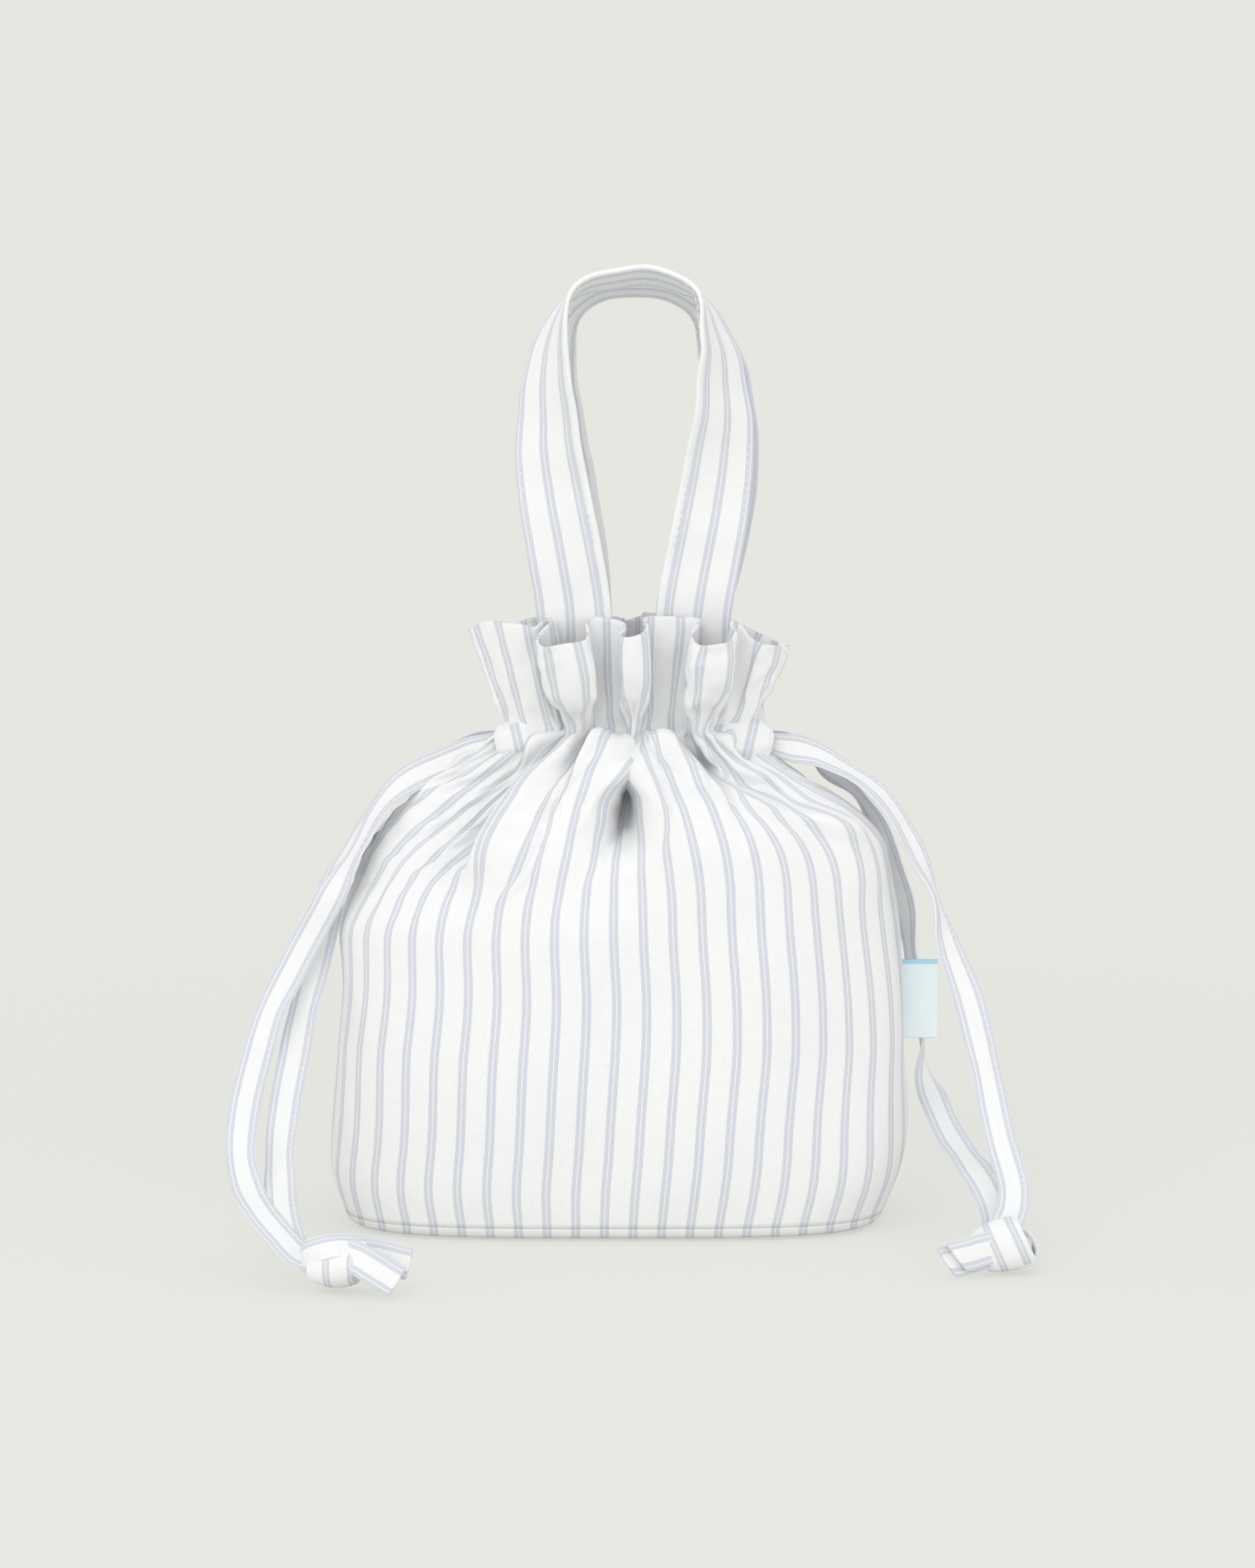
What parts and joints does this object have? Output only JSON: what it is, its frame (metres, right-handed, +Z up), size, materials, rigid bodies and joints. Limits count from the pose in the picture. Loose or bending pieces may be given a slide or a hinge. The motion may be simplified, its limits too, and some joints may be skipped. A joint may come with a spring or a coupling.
{
  "type": "drawstring cooler bag",
  "caption": "Insulated lunch bag of striped cotton with a gathered ruffled neck, knotted drawstring tapes and looped strap handles.",
  "frame": {"origin": "centre of the base, on the surface it stands on", "axes": "+Z up, -Y towards the front of the bag, +X to the side with the label"},
  "size_m": [0.3, 0.2016, 0.3687],
  "materials": {
    "striped_cotton": "plain woven cotton with pale grey-violet double stripes",
    "foam": "closed-cell foam wadding",
    "foil": "silvery film lining",
    "label": "woven tape, bare"
  },
  "bodies": {
    "bag": {"outer_front_panel": "striped_cotton", "outer_back_panel": "striped_cotton", "outer_base_panel": "striped_cotton", "insulation_front": "foam", "insulation_back": "foam", "insulation_base": "foam", "foil_lining_front": "foil", "foil_lining_back": "foil", "foil_lining_base": "foil"},
    "front_collar": {"front_collar": "striped_cotton", "front_casing": "striped_cotton", "left_drawstring_front_run": "striped_cotton", "right_drawstring_front_run": "striped_cotton", "front_handle_left_end": "striped_cotton", "front_handle_right_end": "striped_cotton"},
    "back_collar": {"back_collar": "striped_cotton", "back_casing": "striped_cotton", "left_drawstring_back_run": "striped_cotton", "right_drawstring_back_run": "striped_cotton", "back_handle_left_end": "striped_cotton", "back_handle_right_end": "striped_cotton"},
    "front_handle": {"front_handle": "striped_cotton"},
    "back_handle": {"back_handle": "striped_cotton"},
    "left_drawstring": {"left_drawstring_front_tape": "striped_cotton", "left_drawstring_back_tape": "striped_cotton", "left_drawstring_knot": "striped_cotton", "left_drawstring_front_tail": "striped_cotton", "left_drawstring_back_tail": "striped_cotton"},
    "right_drawstring": {"right_drawstring_front_tape": "striped_cotton", "right_drawstring_back_tape": "striped_cotton", "right_drawstring_knot": "striped_cotton", "right_drawstring_front_tail": "striped_cotton", "right_drawstring_back_tail": "striped_cotton"},
    "side_label": {"side_label": "label"}
  },
  "joints": [
    {"name": "front_collar_close", "type": "slide", "parent": "bag", "child": "front_collar", "axis": [0, 1, 0], "range_m": [0, 0.005]},
    {"name": "back_collar_close", "type": "slide", "parent": "bag", "child": "back_collar", "axis": [0, -1, 0], "range_m": [0, 0.005]},
    {"name": "left_drawstring_pull", "type": "slide", "parent": "bag", "child": "left_drawstring", "axis": [-1, 0, 0], "range_m": [0, 0.02]},
    {"name": "right_drawstring_pull", "type": "slide", "parent": "bag", "child": "right_drawstring", "axis": [1, 0, 0], "range_m": [0, 0.02]},
    {"name": "front_handle_fold", "type": "hinge", "parent": "front_collar", "child": "front_handle", "pos_m": [0.006, -0.01196, 0.237], "axis": [1, 0, 0], "range_deg": [0, 90]},
    {"name": "back_handle_fold", "type": "hinge", "parent": "back_collar", "child": "back_handle", "pos_m": [0.006, 0.01196, 0.237], "axis": [-1, 0, 0], "range_deg": [0, 90]},
    {"name": "label_turn", "type": "hinge", "parent": "bag", "child": "side_label", "pos_m": [0.1103, 0, 0.084], "axis": [0, 0, 1], "range_deg": [-60, 60]}
  ],
  "couplings": [
    {"joint": "back_collar_close", "follows": "front_collar_close", "ratio": 1},
    {"joint": "left_drawstring_pull", "follows": "front_collar_close", "ratio": 4},
    {"joint": "right_drawstring_pull", "follows": "front_collar_close", "ratio": 4}
  ]
}
